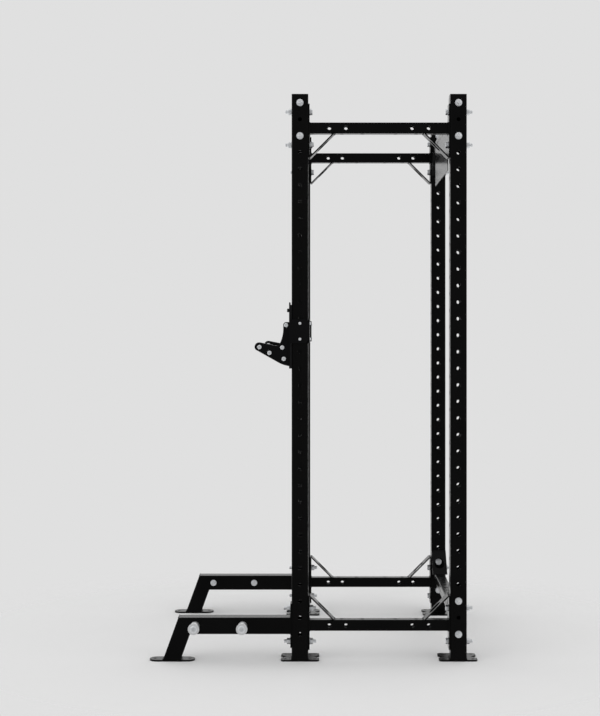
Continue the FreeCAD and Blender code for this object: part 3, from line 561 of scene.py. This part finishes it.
# %% [markdown]
# ## Knob grips
# A pull pin's knob has a black moulded grip with a knurl for the fingers. The knurl is a ring
# of small flutes: the rim's radius goes in and out round the knob, and the outer end is
# rounded over with two smaller rings.

# %% Knob grips
FLUTES, GRIP_RIM, FLUTE_DEPTH = 28, 8.3 * MM, 0.5 * MM
FLUTE_SHAPE = (0, 0.5, 1, 0.5)         # height of the rim through one flute
KNOB_ROOM = 0.3 * MM                   # knob to the front plate
# Share of the knob's length, and share of the rim's radius there.
GRIP_PROFILE = ((0.0, 0.93), (0.12, 1.0), (0.8, 1.0), (0.95, 0.92), (1.06, 0.7), (1.09, 0.3))


def knob_grip(side):
    pin_low, pin_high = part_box(f"jcup_pull_pin_{side}")
    plate_low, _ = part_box(f"jcup_front_plate_{side}")
    root = Vector((plate_low.x - KNOB_ROOM, *((pin_low + pin_high) / 2).yz))
    length = root.x - pin_low.x
    mesh = bmesh.new()
    rings = []
    corners = FLUTES * len(FLUTE_SHAPE)
    for along, share in GRIP_PROFILE:
        ring = []
        for k in range(corners):
            turn = math.tau * k / corners
            depth = FLUTE_DEPTH * (1 - FLUTE_SHAPE[k % len(FLUTE_SHAPE)])
            radius = share * (GRIP_RIM - depth)
            ring.append(root + Vector((-along * length, radius * math.cos(turn),
                                       radius * math.sin(turn))))
        rings.append(ring)
    skin_rings(mesh, rings)
    return finished_piece(f"knob_grip_{side}", mesh, f"pull_pin_{side}", "cap_plastic",
                          smooth=False)


grips = [knob_grip(side) for side, _ in SIDES]
print("knob grips", len(grips))

# %% [markdown]
# ## Pull pin springs
# A compression spring sits behind each pull pin's nose. The CAD coil is rigid, so a new coil of
# the same size takes its place. It is a plain rigid coil, held on no body, so it stays where it is
# when the knob is pulled. It has a turn less.

# %% Coil springs
WIRE = 1.2 * MM
TURNS, STEPS_PER_TURN, WIRE_SIDES = 3, 24, 8


def coil_spring(side):
    node = f"jcup_pin_spring_{side}"
    low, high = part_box(node)
    centre = (low + high) / 2
    radius = (high.y - low.y - WIRE) / 2
    seat, end = low.x + WIRE / 2, high.x - WIRE / 2
    mesh = bmesh.new()
    rings = []
    count = TURNS * STEPS_PER_TURN
    for i in range(count + 1):
        turn = math.tau * i / STEPS_PER_TURN
        outward = Vector((0, math.cos(turn), math.sin(turn)))
        middle = Vector((seat + (end - seat) * i / count, centre.y, centre.z)) + radius * outward
        rings.append([middle + WIRE / 2 * Vector((math.sin(a), *(math.cos(a) * outward).yz))
                      for a in (math.tau * k / WIRE_SIDES for k in range(WIRE_SIDES))])
    skin_rings(mesh, rings)
    piece = finished_piece(f"coil_spring_{side}", mesh, None, "zinc")
    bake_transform(piece)
    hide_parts(node)
    return piece


springs = [coil_spring(side) for side, _ in SIDES]
print("springs", len(springs))

# %% [markdown]
# ## The floor
# A white sweep would block views from behind, so the floor is a plain disc. Its shader turns
# into a transparent one towards the rim, so that no edge of the disc shows against the sky.
# It isn't seen by glossy rays: the paint's underside glare comes from the sky alone.

# %% Floor
PALE = "e0e0e0"
FLOOR_RADIUS, FADE_FROM, FADE_TO = 2.7, 0.9, 2.2
FLOOR_ALBEDO = 0.8
floor_mesh = bmesh.new()
bmesh.ops.create_circle(floor_mesh, cap_ends=True, segments=96, radius=FLOOR_RADIUS)
floor_data = bpy.data.meshes.new("studio_floor")
floor_mesh.to_mesh(floor_data)
floor = bpy.data.objects.new("studio_floor", floor_data)
bpy.context.scene.collection.objects.link(floor)
floor_paint, floor_tree, floor_shader, _ = new_finish("floor_paint")
floor_shader.inputs["Base Color"].default_value = (FLOOR_ALBEDO,) * 3 + (1.0,)
floor_shader.inputs["Roughness"].default_value = 1.0
floor_shader.inputs["Specular IOR Level"].default_value = 0.0
radius = add_node(floor_tree, "ShaderNodeVectorMath", {"operation": "LENGTH"},
                  {0: add_node(floor_tree, "ShaderNodeTexCoord").outputs["Object"]})
fade = add_node(floor_tree, "ShaderNodeMapRange", {"interpolation_type": "SMOOTHSTEP"},
                {"Value": radius.outputs["Value"], "From Min": FADE_FROM, "From Max": FADE_TO})
edge = add_node(floor_tree, "ShaderNodeMixShader", inputs={0: fade.outputs["Result"]})
air = add_node(floor_tree, "ShaderNodeBsdfTransparent")
floor_tree.links.new(floor_shader.outputs["BSDF"], edge.inputs[1])
floor_tree.links.new(air.outputs["BSDF"], edge.inputs[2])
floor_tree.links.new(edge.outputs["Shader"], floor_tree.nodes["Material Output"].inputs["Surface"])
floor_data.materials.append(floor_paint)
floor.visible_glossy = False
print("floor radius", FLOOR_RADIUS)

# %% [markdown]
# ## The sky
# Light comes from all round, as in a white tent, and the camera sees the same pale grey
# everywhere. What glossy surfaces mirror is a sky of its own, dimmer in front of the cage than
# behind and above it, as where black cloth hangs round the camera. That keeps the black paint
# black and lets its edge-on faces glare.

# %% Sky
DOME_SHARE = 0.975        # of the floor's light; the lamps give the rest
FRONT_GLOW, REAR_GLOW = 0.5, 1.1
world = bpy.data.worlds.new("studio_sky")
world.use_nodes = True
bpy.context.scene.world = world
sky = world.node_tree
sky.nodes.clear()
pale = linear(PALE)
rays = add_node(sky, "ShaderNodeLightPath")
toward = add_node(sky, "ShaderNodeTexCoord").outputs["Generated"]
split = add_node(sky, "ShaderNodeSeparateXYZ", inputs={"Vector": toward})
behind = add_node(sky, "ShaderNodeMapRange", {"interpolation_type": "SMOOTHSTEP"},
                  {"Value": split.outputs["Y"], "From Min": -1.0, "From Max": 0.1,
                   "To Min": FRONT_GLOW, "To Max": REAR_GLOW})
dome = add_node(sky, "ShaderNodeMix", {"data_type": "FLOAT"},
                {"Factor": rays.outputs["Is Glossy Ray"], "A": DOME_SHARE * pale[0] / FLOOR_ALBEDO,
                 "B": behind.outputs["Result"]})
seen = add_node(sky, "ShaderNodeMix", {"data_type": "FLOAT"},
                {"Factor": rays.outputs["Is Camera Ray"], "A": dome.outputs["Result"],
                 "B": pale[0]})
glow = add_node(sky, "ShaderNodeBackground",
                inputs={"Color": (1, 1, 1, 1), "Strength": seen.outputs["Result"]})
add_node(sky, "ShaderNodeOutputWorld", inputs={"Surface": glow.outputs["Background"]})
bpy.context.scene.view_settings.view_transform = "Standard"
print("sky glow in front and behind", FRONT_GLOW, REAR_GLOW)

# %% [markdown]
# ## The lamps
# Two large soft boxes, high and to the sides, put a soft sheen on the round fasteners without
# showing in the flat faces. They are weak next to the sky, so the shadows stay faint.

# %% Lamps
MIDDLE = Vector((0, 0, 1.3))


def soft_box(name, place, size, watts):
    lamp = bpy.data.lights.new(name, "AREA")
    lamp.size = size
    lamp.energy = watts
    stand = bpy.data.objects.new(name, lamp)
    stand.location = place
    stand.rotation_euler = (MIDDLE - Vector(place)).to_track_quat("-Z", "Y").to_euler()
    bpy.context.scene.collection.objects.link(stand)
    return stand


BOX_SIZE = 2.4
soft_boxes = [soft_box("left_soft_box", (-3.6, -4.2, 3.6), BOX_SIZE, 18),
              soft_box("right_soft_box", (3.8, -4.2, 3.4), BOX_SIZE, 14)]
print("soft boxes", len(soft_boxes))

# %% [markdown]
# ## The camera
# It stands nearly seven metres off at chest height and looks straight at the side of the cage.
# The lens is shifted instead of tilted, as with a technical camera, so the posts stay upright
# and parallel in the picture.

# %% Camera
LENS, LENS_SHIFT = 75.3, (-0.0300, -0.0363)
STAND_OFF = 6.76          # metres from the near face of the uprights to the lens
BEHIND_POST = 0.0972      # metres towards the rear from the front uprights' middle
CAMERA_HEIGHT = 1.488
near_low, near_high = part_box("upright_front_right")
camera_data = bpy.data.cameras.new("camera")
camera_data.lens = LENS
camera_data.sensor_fit = "AUTO"
camera_data.sensor_width = 36.0
camera_data.shift_x, camera_data.shift_y = LENS_SHIFT
camera = bpy.data.objects.new("camera", camera_data)
camera.location = ((near_low.x + near_high.x) / 2 + BEHIND_POST, near_low.y - STAND_OFF,
                   CAMERA_HEIGHT)
camera.rotation_euler = (math.pi / 2, 0, 0)
bpy.context.scene.collection.objects.link(camera)
bpy.context.scene.camera = camera
print("camera at", [round(v, 3) for v in camera.location])
